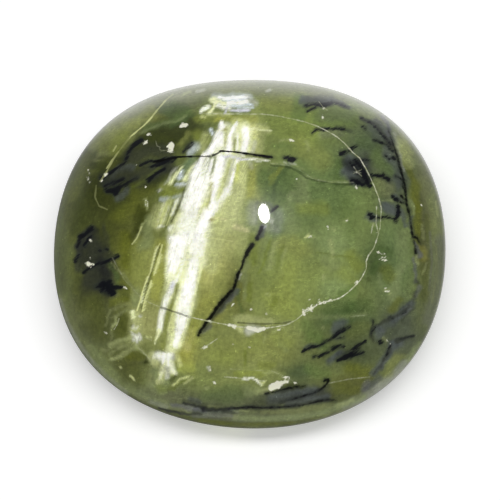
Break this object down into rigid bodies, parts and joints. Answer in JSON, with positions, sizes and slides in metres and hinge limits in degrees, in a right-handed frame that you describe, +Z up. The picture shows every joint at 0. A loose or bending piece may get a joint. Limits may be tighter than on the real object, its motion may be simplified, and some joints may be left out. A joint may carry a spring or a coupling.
{
  "type": "oval cut opal",
  "caption": "Oval cabochon of green moss opal, polished all over, with a high dome, a rounded belly and a flat resting face.",
  "frame": {"origin": "middle of the flat resting face, under the middle of the stone's outline", "axes": "+X along the stone's length, +Y along its width, +Z up through the dome"},
  "size_m": [0.0176, 0.0166, 0.007],
  "materials": {
    "opal": "high polish with a waxy glow; olive green with dark fern-like inclusions and a pale streaked band"
  },
  "bodies": {
    "root": {"opal_cabochon": "opal"}
  },
  "joints": []
}
